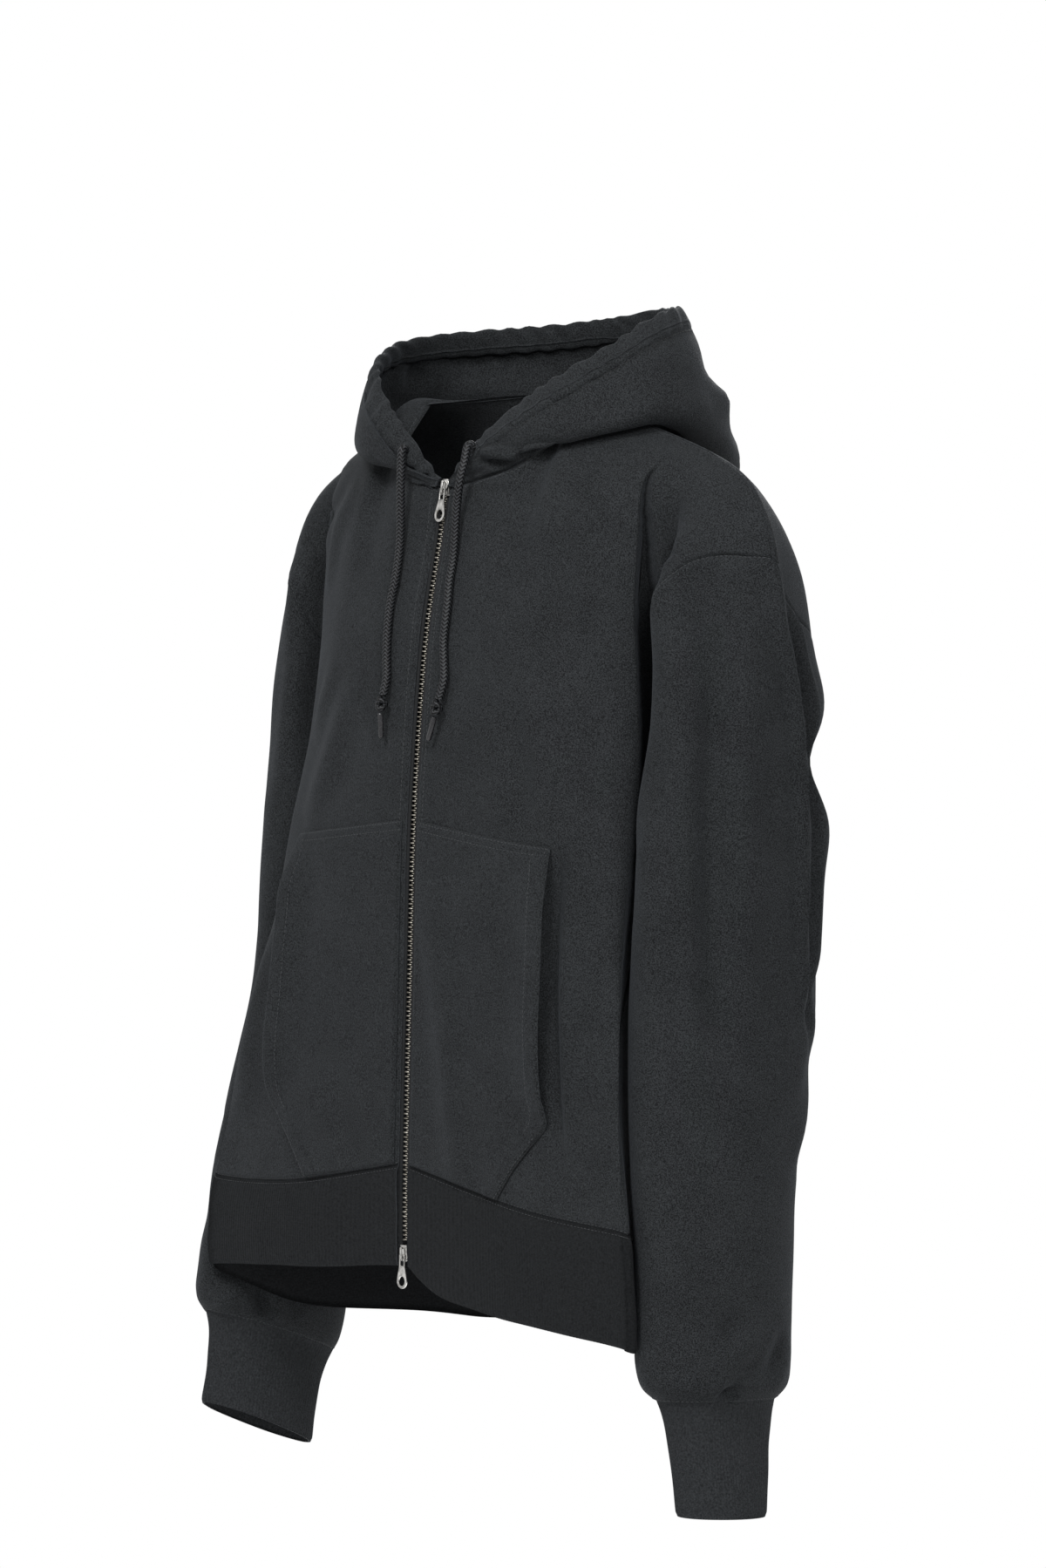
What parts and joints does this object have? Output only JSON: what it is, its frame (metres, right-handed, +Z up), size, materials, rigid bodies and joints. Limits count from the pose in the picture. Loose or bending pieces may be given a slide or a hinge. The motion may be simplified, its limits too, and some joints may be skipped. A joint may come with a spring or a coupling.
{
  "type": "zip-up hoodie",
  "caption": "Hollow zip-up hooded sweatshirt as worn, with drop shoulders, split front pocket, rib cuffs and hem, and a free drawcord.",
  "frame": {"origin": "middle of the neck opening, level with the high points of the shoulders", "axes": "+Z up towards the hood, -Y the way the wearer faces, +X towards the wearer's left"},
  "size_m": [0.6212, 0.302, 0.9148],
  "materials": {
    "fleece": "matt heavy cotton fleece",
    "rib_knit": "matt rib knit",
    "zip_tape": "woven tape",
    "nickel": "pale nickel plate",
    "braid": "round braided cord",
    "aglet": "shiny plastic tip"
  },
  "bodies": {
    "hoodie": {"front_left": "fleece", "front_right": "fleece", "back": "fleece", "sleeve_left": "fleece", "sleeve_right": "fleece", "cuff_left": "rib_knit", "cuff_right": "rib_knit", "waistband": "rib_knit", "pocket_left": "fleece", "pocket_right": "fleece", "hood_left": "fleece", "hood_right": "fleece", "hood_casing": "fleece", "zip_tape_left": "zip_tape", "zip_tape_right": "zip_tape", "zip_chain": "nickel", "slider_top": "nickel", "slider_bottom": "nickel", "drawcord_left": "braid", "drawcord_right": "braid", "knot_left": "braid", "knot_right": "braid", "aglet_left": "aglet", "aglet_right": "aglet"},
    "top_pull": {"pull_top": "nickel"},
    "bottom_pull": {"pull_bottom": "nickel"}
  },
  "joints": [
    {"name": "top_pull_hinge", "type": "hinge", "parent": "hoodie", "child": "top_pull", "pos_m": [0, -0.06732, -0.06723], "axis": [-1, 0, 0], "range_deg": [0, 150]},
    {"name": "bottom_pull_hinge", "type": "hinge", "parent": "hoodie", "child": "bottom_pull", "pos_m": [0, -0.10825, -0.65782], "axis": [-1, 0, 0], "range_deg": [0, 150]}
  ]
}
